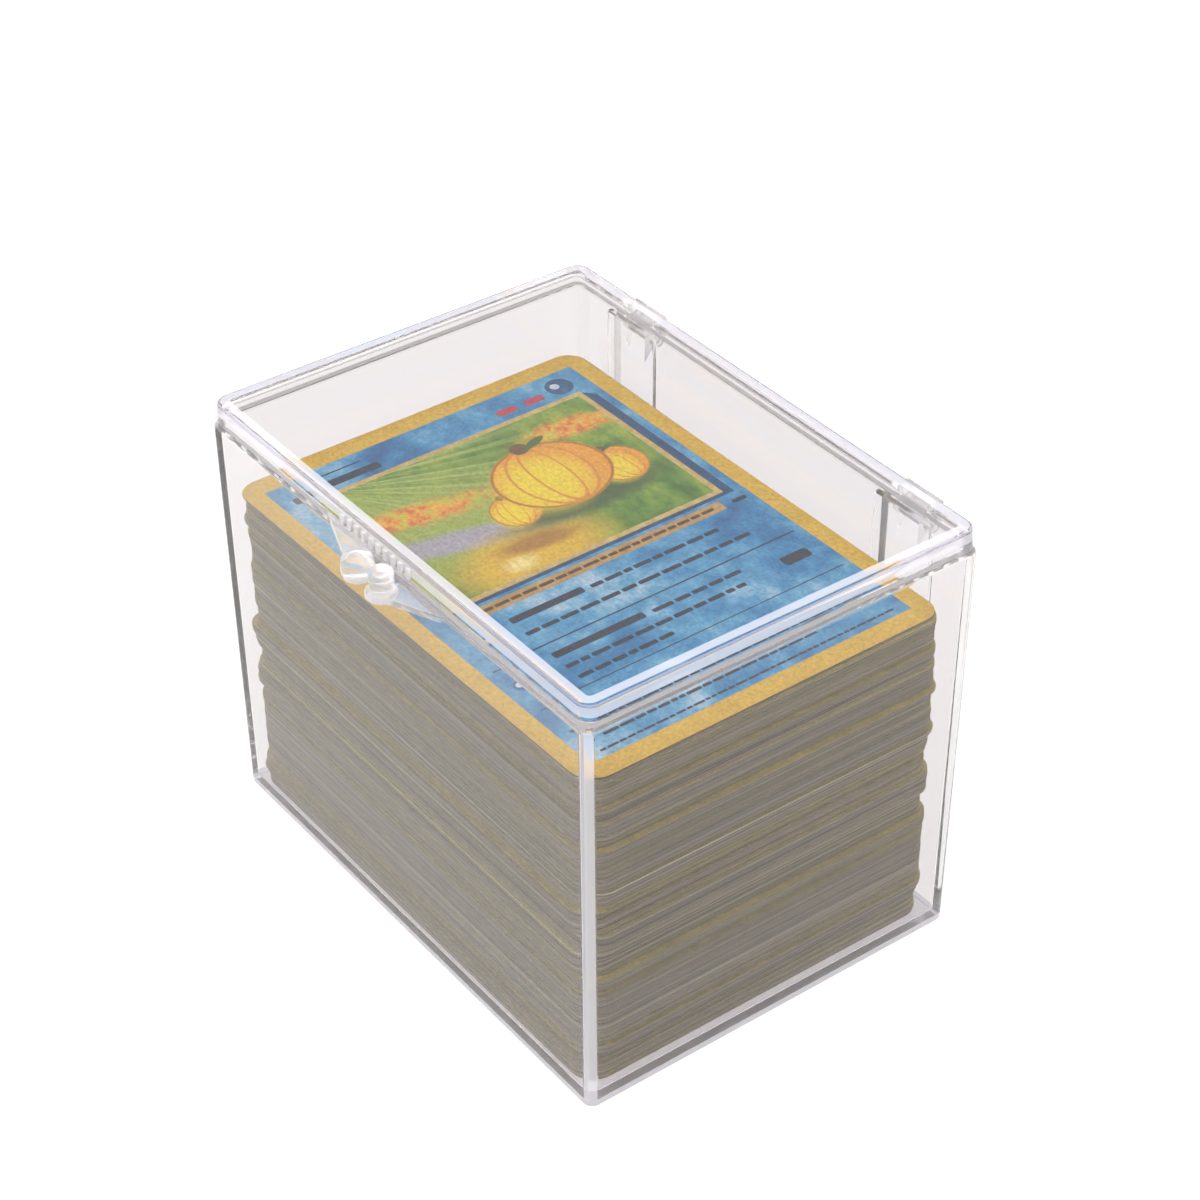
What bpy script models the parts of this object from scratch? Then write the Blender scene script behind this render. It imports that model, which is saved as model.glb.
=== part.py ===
"""Hinged clear card deck box with its deck of cards.

A deep injection-moulded base tray, a shallow lid on two snap hinges at the back,
a pair of latch posts at the middle of the front, and a deck of playing-size cards
lying flat inside.  X runs along the long side, -Y is the latch side, +Y the hinge
side, +Z up.  The origin is the centre of the underside of the base.
"""
import math
import random

import bmesh
import bpy
from mathutils import Matrix, Vector

MM = 0.001
GAP = 0.3 * MM                      # running gap between separate mouldings

# Base tray
RIM_LENGTH = 94.8 * MM
RIM_WIDTH = 69.4 * MM
BASE_HEIGHT = 69.6 * MM
DRAFT = 0.55 * MM                   # each side, rim to foot
WALL = 1.7 * MM
FLOOR = 1.8 * MM
BASE_CORNER = 1.8 * MM
BASE_INNER_CORNER = 0.7 * MM
FOOT_ROUND = 0.9 * MM
RIM_ROUND = 0.35 * MM

# Lid
LID_INSET = 0.25 * MM               # lid skirt sits this far inside the rim's edge
LID_BOTTOM = BASE_HEIGHT + GAP
LID_TOP = 73.6 * MM
LID_TAPER = 0.15 * MM               # each side, skirt foot to top
LID_PLATE = 1.8 * MM
LID_SKIRT = 1.8 * MM
LID_CORNER = 2.3 * MM
LID_INNER_CORNER = 1.3 * MM
LID_ROUND = 0.5 * MM
LID_INNER_ROUND = 0.5 * MM

# Hinge.  Both hinges face the same way along X, so one is a copy of the other.
HINGE_LEFT_X = -36.0 * MM           # left end of the first hinge pocket
HINGE_PITCH = 64.3 * MM
AXIS_Y = 35.1 * MM
AXIS_Z = 67.9 * MM
POCKET_LENGTH = 10.0 * MM
POCKET_FACE_Y = 33.3 * MM           # outer face of the wall inside the pocket
POCKET_INNER_Y = 32.1 * MM
POCKET_SIDE = 1.2 * MM
POCKET_FOOT_Z = 2.6 * MM
KNUCKLE_START = 3.4 * MM            # distances along X from the pocket's left end
KNUCKLE_END = 8.0 * MM
KNUCKLE_RADIUS = 1.75 * MM
BORE_RADIUS = 1.1 * MM
PIN_RADIUS = 1.0 * MM
LUG_START = 1.8 * MM
LUG_END = 9.6 * MM
CHEEKS = ((1.82 * MM, 3.0 * MM), (8.4 * MM, 9.58 * MM))
CHEEK_RADIUS = 1.5 * MM
NECK_HALF = 0.95 * MM               # half width of the neck between cheek and lug
LUG_BACK_Y = 36.1 * MM
LUG_TOP_Z = 72.3 * MM
LUG_CHAMFER = 0.5 * MM
WEB_DEPTH = 5.0 * MM                # the web under a knuckle runs this far down the wall
OVERLAP = 0.4 * MM                  # how far joined shapes run into each other
CUT_BEYOND = 2 * MM                 # how far cutters run past the faces they open

# Latch
LATCH_Y = -37.5 * MM
LID_POST_X = -2.2 * MM
BASE_POST_X = 3.9 * MM
FLANGE_REACH = 14.8 * MM            # flanges run out to this distance either side
LID_POST_RADIUS = 2.5 * MM
BASE_POST_RADIUS = 1.85 * MM
BASE_FLARE_RADIUS = 2.5 * MM
FLANGE_ROOT = 1.2 * MM              # how far a flange runs back into its wall
FLANGE_TIP = 1.4 * MM               # width of its square end, past the post's centre
LID_FLANGE_Z = (70.0 * MM, 71.1 * MM)
BASE_FLANGE_Z = (68.3 * MM, 69.4 * MM)
LID_POST_Z = (67.9 * MM, 71.6 * MM)
BASE_POST_Z = (68.0 * MM, 72.7 * MM)

# Thumb grip on the lid skirt
GRIP_COUNT = 10
GRIP_PITCH = 1.85 * MM
GRIP_WIDTH = 0.95 * MM
GRIP_DEPTH = 0.42 * MM
GRIP_CENTRE_X = -2.1 * MM
GRIP_Z = (71.1 * MM, 72.9 * MM)

# Cards
CARD_LENGTH = 88.0 * MM
CARD_WIDTH = 63.0 * MM
CARD_CORNER = 3.0 * MM
CARD_THICKNESS = 0.3 * MM
DECK_CENTRE_Y = -0.25 * MM
PACKET_COUNT = 22
DECK_TOP = 58.4 * MM
TOP_CARD_TURN = 0.55                # degrees
TOP_CARD_SHIFT = (-0.4 * MM, -0.2 * MM)            # from the deck's centre
PACKET_SLIDE = (0.5 * MM, 0.4 * MM, 0.25 * MM)     # along X, towards -Y, towards +Y
PACKET_TURN = 0.15                  # degrees
SHIFT_CHANCE = 0.55                 # how often a packet starts a new offset
SEED = 7


def collection(name):
    coll = bpy.data.collections.new(name)
    bpy.context.scene.collection.children.link(coll)
    return coll


def material(name, colour, roughness, alpha=1.0):
    mat = bpy.data.materials.new(name)
    mat.use_nodes = True
    shader = mat.node_tree.nodes["Principled BSDF"]
    shader.inputs["Base Color"].default_value = (*colour, 1.0)
    shader.inputs["Roughness"].default_value = roughness
    shader.inputs["Metallic"].default_value = 0.0
    shader.inputs["Alpha"].default_value = alpha
    mat.diffuse_color = (*colour, alpha)
    return mat


def object_from(name, bm, coll, mat=None):
    mesh = bpy.data.meshes.new(name)
    bmesh.ops.recalc_face_normals(bm, faces=bm.faces[:])
    bm.to_mesh(mesh)
    bm.free()
    mesh.shade_smooth()
    mesh.set_sharp_from_angle(angle=math.radians(32))
    ob = bpy.data.objects.new(name, mesh)
    coll.objects.link(ob)
    if mat is not None:
        mesh.materials.append(mat)
    return ob


def boolean(target, other, operation):
    mod = target.modifiers.new(other.name, "BOOLEAN")
    mod.operation = operation
    mod.solver = "EXACT"
    mod.object = other
    other.hide_render = True
    other.display_type = "WIRE"


def upright_edges(bm):
    found = []
    for edge in bm.edges:
        along = edge.verts[0].co - edge.verts[1].co
        if abs(along.z) > 4.0 * (abs(along.x) + abs(along.y)):
            found.append(edge)
    return found


def level_edges(bm, height):
    tol = 1e-6
    return [e for e in bm.edges if all(abs(v.co.z - height) < tol for v in e.verts)]


def block(name, coll, low, high):
    bm = bmesh.new()
    size = Vector(high) - Vector(low)
    centre = (Vector(high) + Vector(low)) / 2
    bmesh.ops.create_cube(bm, size=1.0, matrix=Matrix.Translation(centre) @ Matrix.Diagonal(size).to_4x4())
    return object_from(name, bm, coll)


def rounded_tray(name, coll, top, bottom, z_low, z_high, corner, segments, low_round=0.0,
                 high_round=0.0, mat=None):
    """Block with tapering sides; top and bottom are (length, width)."""
    bm = bmesh.new()
    bmesh.ops.create_cube(bm, size=2.0)
    for v in bm.verts:
        length, width = top if v.co.z > 0 else bottom
        v.co = Vector((v.co.x * length / 2, v.co.y * width / 2, z_high if v.co.z > 0 else z_low))
    bmesh.ops.bevel(bm, geom=upright_edges(bm), offset=corner, segments=segments, profile=0.5,
                    affect="EDGES", clamp_overlap=True)
    for height, radius in ((z_low, low_round), (z_high, high_round)):
        if radius > 0.0:
            bmesh.ops.bevel(bm, geom=level_edges(bm, height), offset=radius, segments=3,
                            profile=0.5, affect="EDGES", clamp_overlap=True)
    return object_from(name, bm, coll, mat)


def rod(name, coll, radius, start, end, segments=28, end_radius=None):
    """Round bar between two points."""
    start, end = Vector(start), Vector(end)
    axis = end - start
    turn = axis.to_track_quat("Z", "Y").to_matrix().to_4x4()
    bm = bmesh.new()
    bmesh.ops.create_cone(bm, cap_ends=True, segments=segments, radius1=radius,
                          radius2=radius if end_radius is None else end_radius,
                          depth=axis.length, matrix=Matrix.Translation((start + end) / 2) @ turn)
    return object_from(name, bm, coll)


def turned(name, coll, centre, profile, segments=28):
    """Solid of revolution about an upright axis; profile is (radius, z) from head to foot."""
    bm = bmesh.new()
    line = [bm.verts.new((radius, 0.0, z)) for radius, z in profile]
    for upper, lower in zip(line, line[1:]):
        bm.edges.new((upper, lower))
    ob = object_from(name, bm, coll)
    ob.location = (centre[0], centre[1], 0.0)
    screw = ob.modifiers.new("turn", "SCREW")
    screw.axis = "Z"
    screw.angle = 2 * math.pi
    screw.steps = segments
    screw.render_steps = segments
    screw.use_merge_vertices = True
    screw.merge_threshold = 0.01 * MM
    screw.use_normal_calculate = True
    return ob


def flat_piece(name, coll, outline, low, high, matrix=None):
    """Flat piece with the given plan outline, from low to high along its own Z."""
    curve = bpy.data.curves.new(name, "CURVE")
    curve.dimensions = "2D"
    curve.fill_mode = "BOTH"
    curve.extrude = (high - low) / 2
    spline = curve.splines.new("POLY")
    spline.points.add(len(outline) - 1)
    for point, (x, y) in zip(spline.points, outline):
        point.co = (x, y, 0.0, 1.0)
    spline.use_cyclic_u = True
    source = bpy.data.objects.new(name + "_outline", curve)
    coll.objects.link(source)
    turn = Matrix.Identity(4) if matrix is None else matrix
    source.matrix_world = turn @ Matrix.Translation((0.0, 0.0, (low + high) / 2))
    bpy.context.view_layer.update()
    graph = bpy.context.evaluated_depsgraph_get()
    mesh = bpy.data.meshes.new_from_object(source.evaluated_get(graph))
    bm = bmesh.new()
    bm.from_mesh(mesh)
    bmesh.ops.remove_doubles(bm, verts=bm.verts[:], dist=0.001 * MM)
    bpy.data.meshes.remove(mesh)
    ob = object_from(name, bm, coll)
    ob.matrix_world = source.matrix_world.copy()
    bpy.data.objects.remove(source, do_unlink=True)
    return ob


def prism_x(name, coll, outline, x_low, x_high):
    """Bar along X from a (y, z) outline."""
    onto_yz = Matrix(((0, 0, 1, 0), (1, 0, 0, 0), (0, 1, 0, 0), (0, 0, 0, 1)))
    return flat_piece(name, coll, outline, x_low, x_high, onto_yz)


def flange_outline(post_x, wall_y, side):
    """Triangular latch flange: nothing at its outer end, full reach at the post."""
    root_y = wall_y + FLANGE_ROOT
    front_y = LATCH_Y - FLANGE_ROOT
    return [(side * FLANGE_REACH, wall_y), (side * FLANGE_REACH, root_y), (post_x, root_y),
            (post_x, front_y), (post_x + side * FLANGE_TIP, front_y)]


def base_shell(coll, cutters, mat):
    outer_low = (RIM_LENGTH - 2 * DRAFT, RIM_WIDTH - 2 * DRAFT)
    base = rounded_tray("base_shell", coll, (RIM_LENGTH, RIM_WIDTH), outer_low, 0.0, BASE_HEIGHT,
                        BASE_CORNER, 6, low_round=FOOT_ROUND, high_round=RIM_ROUND, mat=mat)
    inner_top = (RIM_LENGTH - 2 * WALL, RIM_WIDTH - 2 * WALL)
    inner_low = (outer_low[0] - 2 * WALL, outer_low[1] - 2 * WALL)
    cavity = rounded_tray("base_cavity", cutters, inner_top, inner_low, FLOOR,
                          BASE_HEIGHT + CUT_BEYOND, BASE_INNER_CORNER, 3, low_round=0.6 * MM)
    boolean(base, cavity, "DIFFERENCE")
    for n in range(2):
        hinge_pocket(base, cutters, n, HINGE_LEFT_X + n * HINGE_PITCH)
    wall_y = -RIM_WIDTH / 2 + 0.1 * MM
    flange = flat_piece("base_flange", cutters, flange_outline(BASE_POST_X, wall_y, 1), *BASE_FLANGE_Z)
    boolean(base, flange, "UNION")
    post = turned("base_post", cutters, (BASE_POST_X, LATCH_Y), base_post_profile())
    boolean(base, post, "UNION")
    return base


def base_post_profile():
    """Slim post with a flared foot and a slightly domed head."""
    r, flare = BASE_POST_RADIUS, BASE_FLARE_RADIUS
    foot, head = BASE_POST_Z
    return [(0.0, head), (r - 0.9 * MM, head), (r - 0.45 * MM, head - 0.1 * MM),
            (r - 0.1 * MM, head - 0.45 * MM), (r, head - 0.9 * MM), (r, foot + 2.1 * MM),
            (r + 0.15 * MM, foot + 1.7 * MM), (flare - 0.1 * MM, foot + 1.3 * MM),
            (flare, foot + 0.8 * MM), (flare - 0.15 * MM, foot + 0.35 * MM),
            (flare - 0.7 * MM, foot), (0.0, foot)]


def lid_post_profile():
    """Stout bulging button that hangs in front of the base wall."""
    r = LID_POST_RADIUS
    foot, head = LID_POST_Z
    middle = (foot + head) / 2
    return [(0.0, head), (r - 1.0 * MM, head), (r - 0.45 * MM, head - 0.25 * MM),
            (r - 0.1 * MM, head - 0.8 * MM), (r, middle), (r - 0.2 * MM, foot + 0.7 * MM),
            (r - 0.6 * MM, foot + 0.2 * MM), (r - 1.3 * MM, foot), (0.0, foot)]


def hinge_pocket(base, cutters, n, x):
    """Recess in the back wall with a bored knuckle standing in its left part."""
    bulge = block(f"pocket_bulge_{n}", cutters, (x - POCKET_SIDE, POCKET_INNER_Y, POCKET_FOOT_Z),
                  (x + POCKET_LENGTH + POCKET_SIDE, POCKET_FACE_Y + OVERLAP, BASE_HEIGHT - RIM_ROUND))
    boolean(base, bulge, "UNION")
    recess = block(f"pocket_recess_{n}", cutters, (x, POCKET_FACE_Y, -CUT_BEYOND),
                   (x + POCKET_LENGTH, RIM_WIDTH / 2 + CUT_BEYOND, BASE_HEIGHT + CUT_BEYOND))
    boolean(base, recess, "DIFFERENCE")
    ends = (x + KNUCKLE_START, x + KNUCKLE_END)
    web_y = POCKET_FACE_Y - OVERLAP
    web = prism_x(f"knuckle_web_{n}", cutters,
                  [(web_y, AXIS_Z), (web_y, AXIS_Z - WEB_DEPTH), (AXIS_Y - 0.6 * MM, AXIS_Z - 2.8 * MM),
                   (AXIS_Y + 0.9 * MM, AXIS_Z - 1.2 * MM), (AXIS_Y, AXIS_Z)], ends[0] + 0.05 * MM,
                  ends[1] - 0.05 * MM)
    boolean(base, web, "UNION")
    knuckle = rod(f"knuckle_{n}", cutters, KNUCKLE_RADIUS, (ends[0], AXIS_Y, AXIS_Z),
                  (ends[1], AXIS_Y, AXIS_Z))
    boolean(base, knuckle, "UNION")
    bore = rod(f"knuckle_bore_{n}", cutters, BORE_RADIUS, (ends[0] - OVERLAP, AXIS_Y, AXIS_Z),
               (ends[1] + OVERLAP, AXIS_Y, AXIS_Z), segments=20)
    boolean(base, bore, "DIFFERENCE")


def lid_hinge(lid, cutters, n, x):
    """Lug behind the back skirt, with two cheeks below it that carry the pin between them."""
    lug_front = RIM_WIDTH / 2 - LID_INSET - OVERLAP
    lug = prism_x(f"lid_lug_{n}", cutters,
                  [(lug_front, LID_BOTTOM), (LUG_BACK_Y - LUG_CHAMFER, LID_BOTTOM),
                   (LUG_BACK_Y, LID_BOTTOM + LUG_CHAMFER), (LUG_BACK_Y, LUG_TOP_Z - LUG_CHAMFER),
                   (LUG_BACK_Y - LUG_CHAMFER, LUG_TOP_Z), (lug_front, LUG_TOP_Z)],
                  x + LUG_START, x + LUG_END)
    boolean(lid, lug, "UNION")
    for side, (start, end) in enumerate(CHEEKS):
        cheek = rod(f"lid_cheek_{n}_{side}", cutters, CHEEK_RADIUS, (x + start, AXIS_Y, AXIS_Z),
                    (x + end, AXIS_Y, AXIS_Z))
        boolean(lid, cheek, "UNION")
        neck = block(f"lid_neck_{n}_{side}", cutters, (x + start, AXIS_Y - NECK_HALF, AXIS_Z),
                     (x + end, AXIS_Y + NECK_HALF, LID_BOTTOM + OVERLAP))
        boolean(lid, neck, "UNION")
    pin = rod(f"lid_pin_{n}", cutters, PIN_RADIUS, (x + CHEEKS[0][1] - OVERLAP, AXIS_Y, AXIS_Z),
              (x + CHEEKS[1][0] + OVERLAP, AXIS_Y, AXIS_Z), segments=20)
    boolean(lid, pin, "UNION")


def lid_shell(coll, cutters, mat):
    length = RIM_LENGTH - 2 * LID_INSET
    width = RIM_WIDTH - 2 * LID_INSET
    top = (length - 2 * LID_TAPER, width - 2 * LID_TAPER)
    lid = rounded_tray("lid_shell", coll, top, (length, width), LID_BOTTOM, LID_TOP,
                       LID_CORNER, 8, high_round=LID_ROUND, mat=mat)
    inner = (length - 2 * LID_SKIRT, width - 2 * LID_SKIRT)
    cavity = rounded_tray("lid_cavity", cutters, inner, inner, LID_BOTTOM - CUT_BEYOND,
                          LID_TOP - LID_PLATE, LID_INNER_CORNER, 6, high_round=LID_INNER_ROUND)
    boolean(lid, cavity, "DIFFERENCE")
    for n in range(2):
        lid_hinge(lid, cutters, n, HINGE_LEFT_X + n * HINGE_PITCH)
    wall_y = -width / 2
    flange = flat_piece("lid_flange", cutters, flange_outline(LID_POST_X, wall_y, -1), *LID_FLANGE_Z)
    boolean(lid, flange, "UNION")
    post = turned("lid_post", cutters, (LID_POST_X, LATCH_Y), lid_post_profile())
    boolean(lid, post, "UNION")
    hang_on(lid, coll, "lid_pivot", (0.0, AXIS_Y, AXIS_Z))
    for i in range(GRIP_COUNT):
        x = GRIP_CENTRE_X + (i - (GRIP_COUNT - 1) / 2) * GRIP_PITCH
        rib = block(f"grip_{i:02d}", cutters, (x - GRIP_WIDTH / 2, wall_y - GRIP_DEPTH, GRIP_Z[0]),
                    (x + GRIP_WIDTH / 2, wall_y + OVERLAP, GRIP_Z[1]))
        boolean(lid, rib, "UNION")
    return lid


def hang_on(ob, coll, name, point):
    """Parent a moving piece to an empty that stands on its joint's axis."""
    empty = bpy.data.objects.get(name)
    if empty is None:
        empty = bpy.data.objects.new(name, None)
        empty.location = point
        coll.objects.link(empty)
    ob.parent = empty
    ob.location = Vector(ob.location) - Vector(point)


def card_block(name, coll, thickness, mat):
    """One card or a packet of cards, with rounded plan corners, centred on its own origin."""
    half = thickness / 2
    return rounded_tray(name, coll, (CARD_LENGTH, CARD_WIDTH), (CARD_LENGTH, CARD_WIDTH), -half, half,
                        CARD_CORNER, 6, mat=mat)


def deck(coll, edge_mats, face_mat):
    """Packets of cards shuffled slightly out of line, with one loose card on top."""
    rng = random.Random(SEED)
    low = FLOOR + GAP
    top_card_low = DECK_TOP - CARD_THICKNESS
    pitch = (top_card_low - low) / PACKET_COUNT
    x, y, turn = 0.0, 0.0, 0.0
    for i in range(PACKET_COUNT):
        if rng.random() < SHIFT_CHANCE:
            x = rng.uniform(-PACKET_SLIDE[0], PACKET_SLIDE[0])
            y = rng.uniform(-PACKET_SLIDE[1], PACKET_SLIDE[2])
            turn = math.radians(rng.uniform(-PACKET_TURN, PACKET_TURN))
        packet = card_block(f"card_packet_{i + 1:02d}", coll, pitch - GAP,
                            edge_mats[i % len(edge_mats)])
        packet.location = (x, DECK_CENTRE_Y + y, low + pitch * i + (pitch - GAP) / 2)
        packet.rotation_euler = (0, 0, turn)
        hang_on(packet, coll, "deck_base", (0.0, DECK_CENTRE_Y, low))
    card = card_block("card_top", coll, CARD_THICKNESS, face_mat)
    card.location = (TOP_CARD_SHIFT[0], DECK_CENTRE_Y + TOP_CARD_SHIFT[1], DECK_TOP - CARD_THICKNESS / 2)
    card.rotation_euler = (0, 0, math.radians(TOP_CARD_TURN))
    hang_on(card, coll, "deck_base", (0.0, DECK_CENTRE_Y, low))


def main():
    for ob in list(bpy.data.objects):
        bpy.data.objects.remove(ob, do_unlink=True)
    parts = collection("card_deck_box")
    cutters = collection("cutters")
    clear = material("clear_styrene", (0.93, 0.92, 0.94), 0.06, 0.3)
    edges = [material("card_edge", (0.60, 0.58, 0.54), 0.7)]
    edges.append(material("card_edge_dark", (0.52, 0.50, 0.46), 0.7))
    face = material("card_face", (0.80, 0.63, 0.25), 0.5)
    base_shell(parts, cutters, clear)
    lid_shell(parts, cutters, clear)
    deck(parts, edges, face)


main()
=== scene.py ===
"""Looks for the clear hinged card deck box: polished styrene, printed cards, soft studio light."""
import math
import random

import bmesh
import bpy
from mathutils import Matrix, Vector


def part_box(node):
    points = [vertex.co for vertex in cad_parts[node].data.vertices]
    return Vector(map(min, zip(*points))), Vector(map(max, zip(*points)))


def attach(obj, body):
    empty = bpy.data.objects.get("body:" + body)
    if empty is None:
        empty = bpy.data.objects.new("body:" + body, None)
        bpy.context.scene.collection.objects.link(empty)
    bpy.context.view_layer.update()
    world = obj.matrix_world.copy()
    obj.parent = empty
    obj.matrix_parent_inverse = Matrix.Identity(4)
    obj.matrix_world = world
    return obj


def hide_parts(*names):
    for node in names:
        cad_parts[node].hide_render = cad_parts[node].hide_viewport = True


MM = 0.001

# Styrene shells, in metres.  Outer sizes come from the frame, wall sizes are the moulding's own.
DRAFT = 0.55 * MM
WALL = 1.7 * MM
FLOOR = 1.8 * MM
RIM_Z = 69.6 * MM
RIM_WIDTH = 69.4 * MM
BASE_CORNER = 1.8 * MM
FOOT_ROUND = 0.9 * MM
FOOT_STRIP = 1.7 * MM               # painted light: bright strip round the foot of the base
FOOT_LINE = 0.3 * MM                # painted shade: dark line under it
RIM_ROUND = 0.45 * MM
LID_PLATE = 1.8 * MM
LID_STRIP = 1.9 * MM                # painted light: bright strip round the top of the lid
LID_STRIP_LOW = 71.6 * MM           # lower edge of the painted light strip down its sides
LID_SKIRT = 1.8 * MM
LID_LOW = 69.9 * MM
LID_CORNER = 2.3 * MM
LID_TAPER = 0.15 * MM
LID_ROUND = 0.5 * MM
LID_HALF = (47.15 * MM, 34.45 * MM)
CORNER_STEPS = 14

# Hinges; spans along X are (start, end) from the left end of each pocket
HINGE_LEFT_X = -36.0 * MM
HINGE_PITCH = 64.3 * MM
AXIS_Y = 35.1 * MM
AXIS_Z = 67.9 * MM
POCKET_SPAN = (0.0, 10.0 * MM)
POCKET_FACE_Y = 33.3 * MM           # the pocket's own back wall, seen from outside
LINING_SPAN = (-1.2 * MM, 11.2 * MM)
LINING_Y = 32.1 * MM                # and from inside the tray
LINING_FOOT_Z = 2.2 * MM
KNUCKLE_SPAN = (3.4 * MM, 8.0 * MM)
KNUCKLE_RADIUS = 1.75 * MM
BORE_RADIUS = 1.1 * MM
PIN_SPAN = (2.6 * MM, 8.8 * MM)
PIN_RADIUS = 1.0 * MM
CHEEK_SPANS = ((1.82 * MM, 3.0 * MM), (8.4 * MM, 9.58 * MM))
CHEEK_RADIUS = 1.5 * MM
NECK_HALF = 0.95 * MM
NECK_TOP_Z = 70.3 * MM
LUG_SPAN = (1.8 * MM, 9.6 * MM)
LUG_BACK_Y = 36.1 * MM
LUG_TOP_Z = 72.3 * MM

# Latch and thumb grip
LATCH_Y = -37.5 * MM
LID_POST_X = -2.2 * MM
LID_POST_RADIUS = 2.5 * MM
LID_POST_Z = (67.9 * MM, 71.6 * MM)
LID_FLANGE_Z = (70.0 * MM, 71.1 * MM)
BASE_POST_X = 3.9 * MM
BASE_POST_RADIUS = 1.85 * MM
BASE_POST_FLARE = 2.5 * MM
BASE_POST_Z = (68.0 * MM, 72.7 * MM)
BASE_FLANGE_Z = (68.3 * MM, 69.4 * MM)
GRIP_CENTRE_X = -2.1 * MM
GRIP_COUNT = 10
GRIP_PITCH = 1.85 * MM
GRIP_HALF = 0.475 * MM
GRIP_Z = (71.1 * MM, 72.9 * MM)

# Cards
CARD = (88.0 * MM, 63.0 * MM)
CARD_CORNER = 3.0 * MM
CARD_PITCH = 0.305 * MM
TOP_CARD_TURN = math.radians(0.55)
CLUMP_CHANCE = 0.2                  # how often a card starts a newly shifted clump
CLUMP_SPREAD = (0.33, 0.24)         # standard deviation in mm, along X and Y
INK = 0.01 * MM                     # step in height from one printed layer to the next
SEED = 11

# Camera
CAMERA_PLACE = Vector((283.92, -207.51, 305.19)) * MM
CAMERA_AZIMUTH = math.radians(53.450)
CAMERA_ELEVATION = math.radians(36.114)
CAMERA_ROLL = math.radians(-0.354)
CAMERA_LENS = 87.29

# Material slots of a clear moulding, two of them whitened and one darkened to paint light and shade along
# its edges, and of the print on the top card
CLEAR, PAINTED_LIGHT, PAINTED_SHADE_LINE, FROSTED_AND_LIT, SOFT = range(5)
DARK, RED, BROWN, DEEP, PALE = range(5)

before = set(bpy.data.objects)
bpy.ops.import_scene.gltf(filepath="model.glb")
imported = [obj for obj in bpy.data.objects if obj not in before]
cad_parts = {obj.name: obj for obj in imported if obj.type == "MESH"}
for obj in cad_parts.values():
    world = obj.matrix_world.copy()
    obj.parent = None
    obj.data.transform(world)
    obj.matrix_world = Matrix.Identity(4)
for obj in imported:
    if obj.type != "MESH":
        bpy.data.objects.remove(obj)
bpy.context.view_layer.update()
rng = random.Random(SEED)


# ---------------------------------------------------------------- materials

def material(name):
    mat = bpy.data.materials.new(name)
    mat.use_nodes = True
    tree = mat.node_tree
    return mat, tree, tree.nodes["Principled BSDF"]


def node(tree, kind, **values):
    n = tree.nodes.new(kind)
    for key, value in values.items():
        if hasattr(n, key):
            setattr(n, key, value)
        else:
            n.inputs[key.replace("_", " ")].default_value = value
    return n


def ramp(tree, stops, interpolation="LINEAR"):
    r = tree.nodes.new("ShaderNodeValToRGB")
    r.color_ramp.interpolation = interpolation
    while len(r.color_ramp.elements) < len(stops):
        r.color_ramp.elements.new(0.5)
    for element, (place, colour) in zip(r.color_ramp.elements, stops):
        element.position = place
        element.color = (*colour, 1.0)
    return r


def object_coords(tree, scale=(1, 1, 1)):
    coord = tree.nodes.new("ShaderNodeTexCoord")
    mapping = tree.nodes.new("ShaderNodeMapping")
    mapping.inputs["Scale"].default_value = scale
    tree.links.new(coord.outputs["Object"], mapping.inputs["Vector"])
    return mapping.outputs["Vector"]


def noise(tree, vector, scale, detail=3.0, rough=0.5):
    n = tree.nodes.new("ShaderNodeTexNoise")
    n.inputs["Scale"].default_value = scale
    n.inputs["Detail"].default_value = detail
    n.inputs["Roughness"].default_value = rough
    tree.links.new(vector, n.inputs["Vector"])
    return n.outputs["Fac"]


def bump(tree, height, strength, distance):
    b = tree.nodes.new("ShaderNodeBump")
    b.inputs["Strength"].default_value = strength
    b.inputs["Distance"].default_value = distance
    tree.links.new(height, b.inputs["Height"])
    return b.outputs["Normal"]


def styrene(name, tint, clarity, frost, ior=1.3, haze=0.0):
    """Polished polystyrene: clarity is its transmission, haze to frost its range of roughness."""
    mat, tree, shader = material(name)
    shader.inputs["Base Color"].default_value = (*tint, 1.0)
    shader.inputs["IOR"].default_value = ior
    shader.inputs["Transmission Weight"].default_value = clarity
    coords = object_coords(tree)
    cloudy = noise(tree, coords, 60.0, 2.0)
    rough = ramp(tree, ((0.35, (haze, haze, haze)), (0.75, (frost, frost, frost))))
    tree.links.new(cloudy, rough.inputs["Fac"])
    tree.links.new(rough.outputs["Color"], shader.inputs["Roughness"])
    return mat


def mix(tree, factor, below, above, blend="MIX"):
    """Colour above over colour below; either may be a socket or a plain colour."""
    n = tree.nodes.new("ShaderNodeMix")
    n.data_type = "RGBA"
    n.blend_type = blend
    for socket, value in ((n.inputs[0], factor), (n.inputs[6], below), (n.inputs[7], above)):
        if isinstance(value, bpy.types.NodeSocket):
            tree.links.new(value, socket)
        elif isinstance(value, tuple):
            socket.default_value = (*value, 1.0)
        else:
            socket.default_value = value
    return n.outputs[2]


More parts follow.
